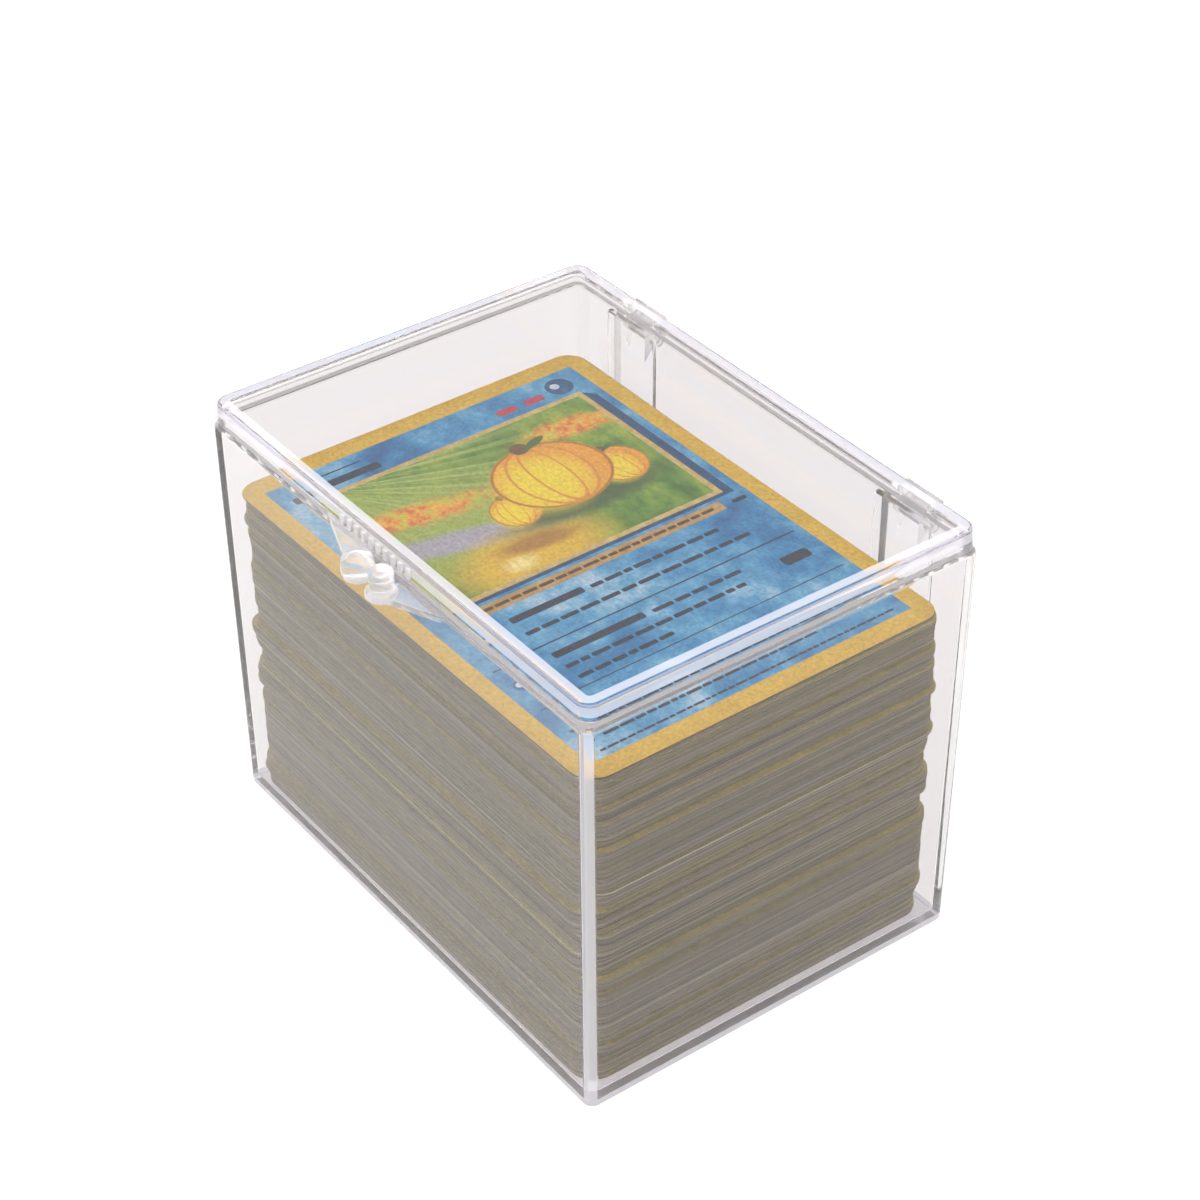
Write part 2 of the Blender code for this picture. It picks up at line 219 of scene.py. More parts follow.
def card_edge():
    """Cut card stock: broad bands of cool, mauve and olive grey, each card its own shade."""
    mat, tree, shader = material("card_edge_look")
    band = noise(tree, object_coords(tree, (2, 2, 330)), 1.0, 2.0, 0.5)
    hues = ramp(tree, ((0.34, (0.155, 0.155, 0.13)), (0.42, (0.29, 0.27, 0.165)),
                       (0.48, (0.21, 0.19, 0.17)), (0.53, (0.31, 0.29, 0.24)),
                       (0.58, (0.175, 0.175, 0.15)), (0.66, (0.37, 0.32, 0.205))))
    tree.links.new(band, hues.inputs["Fac"])
    island = tree.nodes.new("ShaderNodeNewGeometry").outputs["Random Per Island"]
    shades = ramp(tree, ((0.0, (0.34, 0.33, 0.32)), (0.13, (0.80, 0.79, 0.78)),
                         (0.28, (1.06, 1.06, 1.06)), (0.48, (0.88, 0.86, 0.84)),
                         (0.66, (1.0, 1.0, 0.97)), (0.80, (1.22, 1.19, 1.14)),
                         (0.90, (1.45, 1.28, 0.62))), "CONSTANT")
    tree.links.new(island, shades.inputs["Fac"])
    run = ramp(tree, ((0.38, (0.42, 0.41, 0.40)), (0.46, (1.02, 1.01, 0.99)),
                      (0.53, (0.80, 0.79, 0.76)), (0.61, (1.60, 1.55, 1.36))))
    tree.links.new(noise(tree, object_coords(tree, (1.2, 1.2, 1000)), 1.0, 2.0, 0.6), run.inputs["Fac"])
    streak = noise(tree, object_coords(tree, (30, 30, 6200)), 1.0, 3.0, 0.6)
    fibre = ramp(tree, ((0.3, (0.74, 0.74, 0.74)), (0.7, (1.14, 1.14, 1.12))))
    tree.links.new(streak, fibre.inputs["Fac"])
    shaded = mix(tree, 1.0, hues.outputs["Color"], shades.outputs["Color"], "MULTIPLY")
    shaded = mix(tree, 1.0, shaded, run.outputs["Color"], "MULTIPLY")
    shaded = mix(tree, 1.0, shaded, fibre.outputs["Color"], "MULTIPLY")
    tree.links.new(shaded, shader.inputs["Base Color"])
    shader.inputs["Roughness"].default_value = 0.75
    tree.links.new(bump(tree, streak, 0.35, 0.0002), shader.inputs["Normal"])
    return mat


def print_grain(tree, colour):
    """Halftone-like speckle over a printed colour."""
    speck = noise(tree, object_coords(tree), 1700.0, 3.0, 0.75)
    tones = ramp(tree, ((0.3, (0.76, 0.76, 0.76)), (0.7, (1.22, 1.22, 1.22))))
    tree.links.new(speck, tones.inputs["Fac"])
    return mix(tree, 1.0, colour, tones.outputs["Color"], "MULTIPLY")


def printed(name, stops, scale, detail=4.0, rough=0.42):
    """Ink on coated card: a few tones mottled together, with print grain."""
    mat, tree, shader = material(name)
    tones = ramp(tree, stops)
    tree.links.new(noise(tree, object_coords(tree), scale, detail, 0.62), tones.inputs["Fac"])
    tree.links.new(print_grain(tree, tones.outputs["Color"]), shader.inputs["Base Color"])
    shader.inputs["Roughness"].default_value = rough
    shader.inputs["Coat Weight"].default_value = 0.15
    return mat


def patch(tree, centre, radii, soft=0.05, tilt=0.0, wobble=0.0):
    """Mask, 1 inside an oval on the card; centre and radii are (across, up) in millimetres."""
    mapping = placed(tree, centre, radii, tilt)
    reach = node(tree, "ShaderNodeVectorMath", operation="LENGTH")
    tree.links.new(mapping, reach.inputs[0])
    value = reach.outputs["Value"]
    if wobble:
        ripple = node(tree, "ShaderNodeMath", operation="MULTIPLY_ADD")
        tree.links.new(noise(tree, object_coords(tree), 420.0, 3.0, 0.6), ripple.inputs[0])
        ripple.inputs[1].default_value = wobble
        tree.links.new(value, ripple.inputs[2])
        value = ripple.outputs[0]
    edge = node(tree, "ShaderNodeMapRange", interpolation_type="SMOOTHSTEP")
    tree.links.new(value, edge.inputs["Value"])
    middle = 1.0 + wobble / 2
    for key, number in (("From Min", middle - soft), ("From Max", middle + soft),
                        ("To Min", 1.0), ("To Max", 0.0)):
        edge.inputs[key].default_value = number
    return edge.outputs["Result"]


def placed(tree, centre, radii=(1000.0, 1000.0), tilt=0.0):
    """Coordinates about a point of the card: across the card along Y, up the card along -X."""
    at = card_point(*centre, card_face_z())
    coord = tree.nodes.new("ShaderNodeTexCoord")
    mapping = node(tree, "ShaderNodeMapping", vector_type="TEXTURE")
    mapping.inputs["Location"].default_value = at
    mapping.inputs["Rotation"].default_value = (0, 0, TOP_CARD_TURN + math.radians(tilt))
    mapping.inputs["Scale"].default_value = (radii[1] * MM, radii[0] * MM, 1.0)
    tree.links.new(coord.outputs["Object"], mapping.inputs["Vector"])
    return mapping.outputs["Vector"]


def outline(tree, centre, radii, width=0.045, tilt=0.0):
    """Mask of a thin line round an oval: the difference of two sharp patches."""
    outer = patch(tree, centre, radii, 0.02, tilt)
    inner = patch(tree, centre, tuple(r * (1 - width) for r in radii), 0.02, tilt)
    cut = node(tree, "ShaderNodeMath", operation="SUBTRACT", use_clamp=True)
    tree.links.new(outer, cut.inputs[0])
    tree.links.new(inner, cut.inputs[1])
    return cut.outputs[0]


def gourd(tree, below, centre, radii, tilt=0.0):
    """Round ribbed squash: orange body, yellow light on it, ribs and an outline."""
    colour = mix(tree, patch(tree, centre, radii, 0.02, tilt), below, (0.80, 0.36, 0.035))
    lit = (centre[0] - 0.25 * radii[0], centre[1] - 0.15 * radii[1])
    glow = patch(tree, lit, (radii[0] * 0.72, radii[1] * 0.78), 0.42, tilt)
    colour = mix(tree, glow, colour, (0.86, 0.66, 0.035))
    for share in (1.0, 0.66, 0.30):
        line = outline(tree, centre, (radii[0] * share, radii[1]), 0.05 / share ** 0.7, tilt)
        colour = mix(tree, line, colour, (0.42, 0.17, 0.02) if share == 1.0 else (0.70, 0.29, 0.03))
    stem = (centre[0], centre[1] + radii[1] * 0.98)
    stalk = patch(tree, stem, (radii[0] * 0.16, radii[1] * 0.17), 0.1, tilt)
    colour = mix(tree, stalk, colour, (0.16, 0.09, 0.03))
    leaf = (centre[0] + 0.30 * radii[0], centre[1] + radii[1] * 1.0)
    blade = patch(tree, leaf, (radii[0] * 0.24, radii[1] * 0.09), 0.15, tilt + 20)
    return mix(tree, blade, colour, (0.07, 0.16, 0.03))


def picture():
    """Sunny meadow with a path, a bank of flowers and a heap of squashes."""
    mat, tree, shader = material("card_picture_look")
    greens = ramp(tree, ((0.30, (0.05, 0.16, 0.02)), (0.48, (0.15, 0.29, 0.03)),
                         (0.68, (0.34, 0.43, 0.04))))
    tree.links.new(noise(tree, object_coords(tree, (1.0, 1.6, 1.0)), 130.0, 5.0, 0.6), greens.inputs["Fac"])
    colour = mix(tree, patch(tree, (-14, 14), (17, 13), 0.6), greens.outputs["Color"], (0.34, 0.42, 0.07))
    spokes = node(tree, "ShaderNodeTexGradient", gradient_type="RADIAL")
    tree.links.new(placed(tree, (-24.0, 35.0)), spokes.inputs["Vector"])
    fan = node(tree, "ShaderNodeTexNoise", noise_dimensions="1D")
    fan.inputs["Scale"].default_value = 95.0
    fan.inputs["Detail"].default_value = 1.0
    tree.links.new(spokes.outputs["Fac"], fan.inputs["W"])
    rays = ramp(tree, ((0.45, (0.0, 0.0, 0.0)), (0.62, (1.0, 1.0, 1.0))))
    tree.links.new(fan.outputs["Fac"], rays.inputs["Fac"])
    reach = node(tree, "ShaderNodeMath", operation="MULTIPLY")
    tree.links.new(rays.outputs["Color"], reach.inputs[0])
    tree.links.new(patch(tree, (-20, 30), (26, 18), 0.6), reach.inputs[1])
    colour = mix(tree, reach.outputs[0], colour, (0.38, 0.48, 0.13))
    petals = ramp(tree, ((0.38, (0.72, 0.14, 0.04)), (0.52, (0.80, 0.40, 0.05)),
                         (0.66, (0.55, 0.55, 0.06))))
    tree.links.new(noise(tree, object_coords(tree), 520.0, 3.0, 0.6), petals.inputs["Fac"])
    for centre, radii, tilt in (((-15, 20.5), (12, 2.6), -10), ((18, 26.0), (9, 2.4), -6)):
        colour = mix(tree, patch(tree, centre, radii, 0.5, tilt, 0.9), colour, petals.outputs["Color"])
    colour = mix(tree, patch(tree, (-12, 10.5), (15, 2.6), 0.4, -14, 0.3), colour, (0.40, 0.39, 0.44))
    colour = mix(tree, patch(tree, (-7, 1.5), (12, 6.8), 0.45), colour, (0.72, 0.46, 0.035))
    colour = mix(tree, patch(tree, (-4.5, 4.0), (6.5, 1.9), 0.5, -6), colour, (0.42, 0.21, 0.03))
    colour = mix(tree, patch(tree, (-10, 0.8), (2.4, 1.5), 0.7), colour, (0.90, 0.74, 0.28))
    colour = mix(tree, patch(tree, (8.5, 8.2), (14, 2.8), 0.5), colour, (0.06, 0.12, 0.03))
    colour = gourd(tree, colour, (17.6, 13.2), (4.6, 4.9), 8)
    colour = gourd(tree, colour, (-2.6, 12.4), (4.0, 4.2), -6)
    colour = gourd(tree, colour, (7.6, 17.0), (9.8, 8.8))
    tree.links.new(print_grain(tree, colour), shader.inputs["Base Color"])
    shader.inputs["Roughness"].default_value = 0.42
    shader.inputs["Coat Weight"].default_value = 0.15
    return mat


# ---------------------------------------------------------------- mesh helpers

def piece(name, bm, mats, smooth=30.0):
    mesh = bpy.data.meshes.new(name)
    bm.normal_update()
    bm.to_mesh(mesh)
    bm.free()
    ob = bpy.data.objects.new(name, mesh)
    bpy.context.scene.collection.objects.link(ob)
    for mat in mats:
        mesh.materials.append(mat)
    if smooth:
        mesh.shade_smooth()
        mesh.set_sharp_from_angle(angle=math.radians(smooth))
    return ob


def ring_points(half_x, half_y, corner, steps):
    """Rounded rectangle, anticlockwise seen from above."""
    points = []
    for quarter, (sx, sy) in enumerate(((1, 1), (-1, 1), (-1, -1), (1, -1))):
        cx, cy = sx * (half_x - corner), sy * (half_y - corner)
        for i in range(steps + 1):
            a = math.pi / 2 * (quarter + i / steps)
            points.append((cx + corner * math.cos(a), cy + corner * math.sin(a)))
    return points


def loft(rings, steps=CORNER_STEPS):
    """Closed solid through rounded-rectangle rings (half_x, half_y, corner, z), capped at both ends."""
    bm = bmesh.new()
    loops = []
    for half_x, half_y, corner, z in rings:
        loops.append([bm.verts.new((x, y, z)) for x, y in ring_points(half_x, half_y, corner, steps)])
    count = len(loops[0])
    for a, b in zip(loops, loops[1:]):
        for i in range(count):
            j = (i + 1) % count
            bm.faces.new((a[i], a[j], b[j], b[i]))
    bm.faces.new(list(reversed(loops[0])))
    bm.faces.new(loops[-1])
    return bm


def arc(count, start, stop):
    return [math.radians(start + (stop - start) * i / count) for i in range(count + 1)]


def box_mesh(low, high):
    bm = bmesh.new()
    size = Vector(high) - Vector(low)
    centre = (Vector(high) + Vector(low)) / 2
    bmesh.ops.create_cube(bm, size=1.0, matrix=Matrix.Translation(centre) @ Matrix.Diagonal(size).to_4x4())
    return bm


def soft_box(low, high, radius, segments=3):
    bm = box_mesh(low, high)
    bmesh.ops.bevel(bm, geom=bm.edges[:], offset=radius, segments=segments, profile=0.5,
                    affect="EDGES", clamp_overlap=True)
    return bm


def rod_x(x_low, x_high, radius, segments=48, edge=0.0):
    bm = bmesh.new()
    turn = Matrix.Rotation(math.pi / 2, 4, "Y")
    place = Matrix.Translation(((x_low + x_high) / 2, AXIS_Y, AXIS_Z)) @ turn
    bmesh.ops.create_cone(bm, cap_ends=True, segments=segments, radius1=radius, radius2=radius,
                          depth=x_high - x_low, matrix=place)
    if edge:
        rims = [e for e in bm.edges if len([f for f in e.link_faces if len(f.verts) > 4]) == 1]
        bmesh.ops.bevel(bm, geom=rims, offset=edge, segments=2, profile=0.5, affect="EDGES")
    return bm


def turned(centre, profile, segments=48):
    """Solid of revolution, profile (radius, z) from foot to head, both ends on the axis."""
    bm = bmesh.new()
    for (r0, z0), (r1, z1) in zip(profile, profile[1:]):
        bm.edges.new((bm.verts.new((r0, 0, z0)), bm.verts.new((r1, 0, z1))))
    bmesh.ops.remove_doubles(bm, verts=bm.verts[:], dist=1e-7)
    bmesh.ops.spin(bm, geom=bm.verts[:] + bm.edges[:], cent=(0, 0, 0), axis=(0, 0, 1),
                   angle=2 * math.pi, steps=segments, use_merge=True)
    bmesh.ops.remove_doubles(bm, verts=bm.verts[:], dist=1e-6)
    bmesh.ops.recalc_face_normals(bm, faces=bm.faces[:])
    bmesh.ops.translate(bm, verts=bm.verts[:], vec=(centre[0], centre[1], 0))
    return bm


def prism(outline, z_low, z_high, edge=0.15 * MM):
    """Flat plate from a plan outline with slightly softened edges."""
    bm = bmesh.new()
    face = bm.faces.new([bm.verts.new((x, y, z_low)) for x, y in outline])
    lifted = bmesh.ops.extrude_face_region(bm, geom=[face])
    verts = [g for g in lifted["geom"] if isinstance(g, bmesh.types.BMVert)]
    bmesh.ops.translate(bm, verts=verts, vec=(0, 0, z_high - z_low))
    bmesh.ops.recalc_face_normals(bm, faces=bm.faces[:])
    if edge:
        bmesh.ops.bevel(bm, geom=bm.edges[:], offset=edge, segments=2, profile=0.5, affect="EDGES",
                        clamp_overlap=True)
    return bm


def combine(target, bm, operation, slot=CLEAR):
    """Boolean a second solid into the first and keep only the result; its faces take the given slot."""
    for face in bm.faces:
        face.material_index = slot
    tool = piece("tool", bm, list(target.data.materials), smooth=0)
    mod = target.modifiers.new("join", "BOOLEAN")
    mod.operation = operation
    mod.solver = "EXACT"
    mod.object = tool
    graph = bpy.context.evaluated_depsgraph_get()
    mesh = bpy.data.meshes.new_from_object(target.evaluated_get(graph))
    target.modifiers.remove(mod)
    old = target.data
    target.data = mesh
    bpy.data.meshes.remove(old)
    tool_mesh = tool.data
    bpy.data.objects.remove(tool)
    bpy.data.meshes.remove(tool_mesh)


def recolour(ob, slot, test):
    """Give the faces that test(centre, normal) picks another material slot."""
    for face in ob.data.polygons:
        if test(face.center, face.normal):
            face.material_index = slot


def finish_shell(ob, node_name, body):
    ob.data.shade_smooth()
    ob.data.set_sharp_from_angle(angle=math.radians(28))
    weighted = ob.modifiers.new("even_normals", "WEIGHTED_NORMAL")
    weighted.keep_sharp = True
    weighted.weight = 80
    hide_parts(node_name)
    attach(ob, body)


# ---------------------------------------------------------------- shells

def flange_outline(post_x, wall_y, side):
    inner = 1.2 * MM
    reach = 14.8 * MM
    return [(side * reach, wall_y), (side * reach, wall_y + inner), (post_x, wall_y + inner),
            (post_x, LATCH_Y - 1.2 * MM), (post_x + side * 1.4 * MM, LATCH_Y - 1.2 * MM)]


def base_rings():
    """Foot, outer wall, rim, inner wall and floor of the tray, from outside to inside."""
    low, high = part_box("base_shell")
    half_x = (high.x - low.x) / 2
    half_y = RIM_WIDTH / 2
    rings = []
    foot_x, foot_y = half_x - DRAFT, half_y - DRAFT

    def outer(z):
        return foot_x + DRAFT * z / RIM_Z, foot_y + DRAFT * z / RIM_Z
    for a in arc(5, 0, 90):
        inset = FOOT_ROUND * (1 - math.sin(a))
        z = FOOT_ROUND * (1 - math.cos(a))
        x, y = outer(z)
        rings.append((x - inset, y - inset, max(BASE_CORNER - inset, 0.3 * MM), z))
    rings.append((*outer(FOOT_STRIP), BASE_CORNER, FOOT_STRIP))
    for a in arc(4, 0, 180):
        x, y = outer(RIM_Z)
        mid = WALL / 2
        flat = mid - RIM_ROUND
        shift = mid - (RIM_ROUND * math.cos(a) + (flat if a <= math.pi / 2 else -flat))
        z = RIM_Z - RIM_ROUND + RIM_ROUND * math.sin(a)
        corner = BASE_CORNER - shift
        rings.append((x - shift, y - shift, max(corner, 0.6 * MM), z))
    inner_low = FLOOR + 0.9 * MM
    x, y = outer(inner_low)
    rings.append((x - WALL, y - WALL, 0.6 * MM, inner_low))
    for a in arc(4, 0, 90)[1:]:
        inset = 0.9 * MM * (1 - math.cos(a))
        z = inner_low - 0.9 * MM * math.sin(a)
        rings.append((x - WALL - inset, y - WALL - inset, max(0.6 * MM - inset * 0.3, 0.25 * MM), z))
    return rings


def span_at(x, span):
    return x + span[0], x + span[1]


def knuckle_web(x_low, x_high):
    """Wedge that joins a knuckle to the pocket's back wall."""
    section = ((POCKET_FACE_Y - 0.3 * MM, AXIS_Z), (POCKET_FACE_Y - 0.3 * MM, AXIS_Z - 5 * MM),
               (AXIS_Y - 0.6 * MM, AXIS_Z - 2.8 * MM), (AXIS_Y + 0.9 * MM, AXIS_Z - 1.2 * MM),
               (AXIS_Y, AXIS_Z))
    bm = bmesh.new()
    face = bm.faces.new([bm.verts.new((x_low + 0.05 * MM, y, z)) for y, z in section])
    lifted = bmesh.ops.extrude_face_region(bm, geom=[face])
    verts = [g for g in lifted["geom"] if isinstance(g, bmesh.types.BMVert)]
    bmesh.ops.translate(bm, verts=verts, vec=(x_high - x_low - 0.1 * MM, 0, 0))
    bmesh.ops.recalc_face_normals(bm, faces=bm.faces[:])
    return bm


def add_pocket(base, x):
    """Pocket in the back wall, its left end at x, with the bored knuckle that stands in it."""
    x_low, x_high = span_at(x, LINING_SPAN)
    lining = soft_box((x_low, LINING_Y, LINING_FOOT_Z),
                      (x_high, POCKET_FACE_Y + 0.5 * MM, RIM_Z - 0.4 * MM), 0.45 * MM)
    combine(base, lining, "UNION", SOFT)
    x_low, x_high = span_at(x, POCKET_SPAN)
    hollow = box_mesh((x_low, POCKET_FACE_Y, -1 * MM), (x_high, 36 * MM, 72 * MM))
    combine(base, hollow, "DIFFERENCE", SOFT)
    x_low, x_high = span_at(x, KNUCKLE_SPAN)
    combine(base, knuckle_web(x_low, x_high), "UNION", SOFT)
    combine(base, rod_x(x_low, x_high, KNUCKLE_RADIUS, edge=0.2 * MM), "UNION", SOFT)
    combine(base, rod_x(x_low - 0.5 * MM, x_high + 0.5 * MM, BORE_RADIUS), "DIFFERENCE", SOFT)


def base_post_profile():
    """Latch post of the base: flared foot, waist and rounded head."""
    r, flare, (foot, head) = BASE_POST_RADIUS, BASE_POST_FLARE, BASE_POST_Z
    profile = [(0.0, foot), (flare - 0.7 * MM, foot)]
    profile += [(flare - 0.7 * MM + 0.7 * MM * math.cos(a), foot + 0.75 * MM + 0.75 * MM * math.sin(a))
                for a in arc(8, -90, 60)]
    profile += [(r + 0.16 * MM, foot + 1.65 * MM), (r, foot + 2.0 * MM)]
    profile += [(r - 0.7 * MM + 0.7 * MM * math.cos(a), head - 0.7 * MM + 0.7 * MM * math.sin(a))
                for a in arc(6, 0, 90)]
    return profile + [(0.0, head)]


def build_base(mats):
    base = piece("base_clear_shell", loft(base_rings()), mats, smooth=0)
    low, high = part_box("base_shell")
    half_x, half_y = (high.x - low.x) / 2, RIM_WIDTH / 2
    reach = BASE_CORNER + DRAFT
    # Whitened rim top: painted light for the thin bright line along the seam.
    recolour(base, FROSTED_AND_LIT, lambda c, n: c.z > RIM_Z - RIM_ROUND)
    # Whitened foot strip: painted light for the bright band made by light carried in the floor plate.
    recolour(base, PAINTED_LIGHT, lambda c, n: FOOT_LINE < c.z < FOOT_STRIP and n.x * c.x + n.y * c.y > 0)
    # Darker lavender ring at the very foot: painted shade for the dark line under the strip.
    recolour(base, PAINTED_SHADE_LINE, lambda c, n: 0 < c.z < FOOT_LINE)
    # Whitened tray floor top and underside: painted light that brightens the floor seen through the walls.
    recolour(base, FROSTED_AND_LIT, lambda c, n: n.z > 0.9 and c.z < FLOOR + 0.1 * MM)
    recolour(base, PAINTED_LIGHT, lambda c, n: n.z < -0.9 and c.z < FOOT_LINE)
    recolour(base, SOFT, lambda c, n: min(abs(c.x) - half_x, abs(c.y) - half_y) > -reach - WALL
             and min(abs(n.x), abs(n.y)) > 0.1 and FOOT_STRIP < c.z < RIM_Z - RIM_ROUND)
    # Whitened front vertical corner: painted light for its bright strip.
    recolour(base, PAINTED_LIGHT, lambda c, n: c.x > half_x - reach and c.y < reach - half_y
             and n.x > 0.26 and n.y < -0.26)
    for n in range(2):
        add_pocket(base, HINGE_LEFT_X + n * HINGE_PITCH)
    wall_y = 0.1 * MM - half_y
    combine(base, prism(flange_outline(BASE_POST_X, wall_y, 1), *BASE_FLANGE_Z), "UNION", FROSTED_AND_LIT)
    combine(base, turned((BASE_POST_X, LATCH_Y), base_post_profile()), "UNION", FROSTED_AND_LIT)
    finish_shell(base, "base_shell", "base")


def lid_rings():
    """Top strip, rounded top edge, skirt and underside of the lid, from the top inwards."""
    half_x, half_y = LID_HALF
    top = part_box("lid_shell")[1].z
    top_x, top_y = half_x - LID_TAPER, half_y - LID_TAPER
    rings = [(top_x - LID_STRIP, top_y - LID_STRIP, LID_CORNER - LID_STRIP + 0.4 * MM, top)]
    for a in arc(5, 90, 0):
        inset = LID_ROUND * (1 - math.cos(a))
        z = top - LID_ROUND + LID_ROUND * math.sin(a)
        rings.append((top_x - inset, top_y - inset, LID_CORNER - inset, z))
    rings.append((half_x - LID_TAPER / 2, half_y - LID_TAPER / 2, LID_CORNER, LID_STRIP_LOW))
    rings.append((half_x, half_y, LID_CORNER, LID_LOW + 0.15 * MM))
    rings.append((half_x - 0.15 * MM, half_y - 0.15 * MM, LID_CORNER - 0.15 * MM, LID_LOW))
    inner_x, inner_y = half_x - LID_SKIRT, half_y - LID_SKIRT
    rings.append((inner_x + 0.15 * MM, inner_y + 0.15 * MM, 1.4 * MM, LID_LOW))
    rings.append((inner_x, inner_y, 1.3 * MM, LID_LOW + 0.15 * MM))
    under = top - LID_PLATE
    for a in arc(4, 0, 90):
        inset = 0.6 * MM * (1 - math.cos(a))
        z = under - 0.6 * MM + 0.6 * MM * math.sin(a)
        rings.append((inner_x - inset, inner_y - inset, 1.3 * MM - inset, z))
    return rings


def add_lug(lid, x):
    """Lug over the pocket at x, its two cheeks, and the pin between them."""
    x_low, x_high = span_at(x, LUG_SPAN)
    lug = soft_box((x_low, LID_HALF[1] - 0.5 * MM, LID_LOW), (x_high, LUG_BACK_Y, LUG_TOP_Z), 0.4 * MM)
    combine(lid, lug, "UNION", FROSTED_AND_LIT)
    for span in CHEEK_SPANS:
        x_low, x_high = span_at(x, span)
        combine(lid, rod_x(x_low, x_high, CHEEK_RADIUS, edge=0.2 * MM), "UNION", SOFT)
        neck = box_mesh((x_low, AXIS_Y - NECK_HALF, AXIS_Z), (x_high, AXIS_Y + NECK_HALF, NECK_TOP_Z))
        combine(lid, neck, "UNION", SOFT)
    combine(lid, rod_x(*span_at(x, PIN_SPAN), PIN_RADIUS), "UNION", SOFT)


def lid_post_profile():
    """Latch post of the lid: a short barrel with rounded ends."""
    r, (foot, head) = LID_POST_RADIUS, LID_POST_Z
    profile = [(0.0, foot)]
    profile += [(r - 1.0 * MM + 0.85 * MM * math.cos(a), foot + 0.9 * MM + 0.9 * MM * math.sin(a))
                for a in arc(6, -90, -10)]
    profile += [(r, (foot + head) / 2)]
    profile += [(r - 0.9 * MM + 0.8 * MM * math.cos(a), head - 0.8 * MM + 0.8 * MM * math.sin(a))
                for a in arc(6, 10, 90)]
    return profile + [(0.0, head)]


def build_lid(mats):
    bm = loft(lid_rings())
    bmesh.ops.recalc_face_normals(bm, faces=bm.faces[:])
    lid = piece("lid_clear_shell", bm, mats, smooth=0)
    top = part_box("lid_shell")[1].z
    in_x, in_y = LID_HALF[0] - LID_STRIP, LID_HALF[1] - LID_STRIP
    # Whitened top strip and side strip of the lid: painted light for the glow of light carried inside the
    # plastic.
    recolour(lid, PAINTED_LIGHT, lambda c, n: n.z > 0.99 and (abs(c.x) > in_x or abs(c.y) > in_y))
    recolour(lid, PAINTED_LIGHT, lambda c, n: abs(n.z) < 0.1 and LID_STRIP_LOW < c.z < top - LID_ROUND
             and n.x * c.x + n.y * c.y > 0)
    # Darker lavender middle of the rounded top edge: painted shade for the dark line between the strips.
    recolour(lid, PAINTED_SHADE_LINE, lambda c, n: 0.3 < n.z < 0.75)
    recolour(lid, FROSTED_AND_LIT, lambda c, n: n.z < -0.5 and c.z < LID_LOW + 0.2 * MM)
    outer = LID_HALF[1]
    for n in range(2):
        add_lug(lid, HINGE_LEFT_X + n * HINGE_PITCH)
    combine(lid, prism(flange_outline(LID_POST_X, -outer, -1), *LID_FLANGE_Z), "UNION", FROSTED_AND_LIT)
    combine(lid, turned((LID_POST_X, LATCH_Y), lid_post_profile()), "UNION", FROSTED_AND_LIT)
    for i in range(GRIP_COUNT):
        x = GRIP_CENTRE_X + (i - (GRIP_COUNT - 1) / 2) * GRIP_PITCH
        rib = soft_box((x - GRIP_HALF, -outer - 0.42 * MM, GRIP_Z[0]),
                       (x + GRIP_HALF, -outer + 0.4 * MM, GRIP_Z[1]), 0.18 * MM, 2)
        # Grip ribs take the whitened slot: painted light for their bright look.
        combine(lid, rib, "UNION", PAINTED_LIGHT)
    finish_shell(lid, "lid_shell", "lid")


# ---------------------------------------------------------------- cards

def add_card(bm, centre, turn, z, thick):
    """One card added to bm; side faces get slot 0, top and bottom slot 1."""
    points = ring_points(CARD[0] / 2, CARD[1] / 2, CARD_CORNER, 6)
    c, s = math.cos(turn), math.sin(turn)
    loops = []
    for height in (z, z + thick):
        loops.append([bm.verts.new((centre[0] + c * x - s * y, centre[1] + s * x + c * y, height))
                      for x, y in points])
    low, high = loops
    count = len(low)
    for i in range(count):
        j = (i + 1) % count
        bm.faces.new((low[i], low[j], high[j], high[i])).material_index = 0
    bm.faces.new(list(reversed(low))).material_index = 1
    bm.faces.new(high).material_index = 1


def centre_of(name):
    low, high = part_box(name)
    return (low + high) / 2


def clamped(value, limit):
    return max(-limit, min(limit, value))


def build_deck(edge, border):
    """Every card of every packet; many packets lean smoothly into the next one's place."""
    names = sorted(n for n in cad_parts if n.startswith("card_packet_"))
    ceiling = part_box("card_top")[0].z - 0.01 * MM
    clump = (0.0, 0.0)
    for k, name in enumerate(names):
        last = k + 1 == len(names)
        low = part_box(name)[0].z
        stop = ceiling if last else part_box(names[k + 1])[0].z
        here = centre_of(name)
        there = here if last or rng.random() < 0.6 else centre_of(names[k + 1])
        count = int(round((stop - low) / CARD_PITCH))
        pitch = (stop - low) / count
        bm = bmesh.new()
        for i in range(count):
            t = (i + 0.5) / count
            lean = here.lerp(there, t * t * (3 - 2 * t))
            if rng.random() < CLUMP_CHANCE:
                clump = tuple(rng.gauss(0, spread) * MM for spread in CLUMP_SPREAD)
            x = clamped(lean.x + clump[0] + rng.gauss(0, 0.06) * MM, 0.95 * MM)
            y = clamped(lean.y + clump[1] + rng.gauss(0, 0.05) * MM, 0.80 * MM)
            thick = pitch - rng.uniform(0.01, 0.05) * MM
            add_card(bm, (x, y), math.radians(rng.gauss(0, 0.06)), low + pitch * i, thick)
        cards = piece(f"cards_{k + 1:02d}", bm, [edge, border], smooth=0)
        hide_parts(name)
        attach(cards, "deck")


# ---------------------------------------------------------------- printed face of the top card

def card_face_z():
    """Height of the top card's own surface, under its printed layers."""
    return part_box("card_top")[1].z - 5 * INK


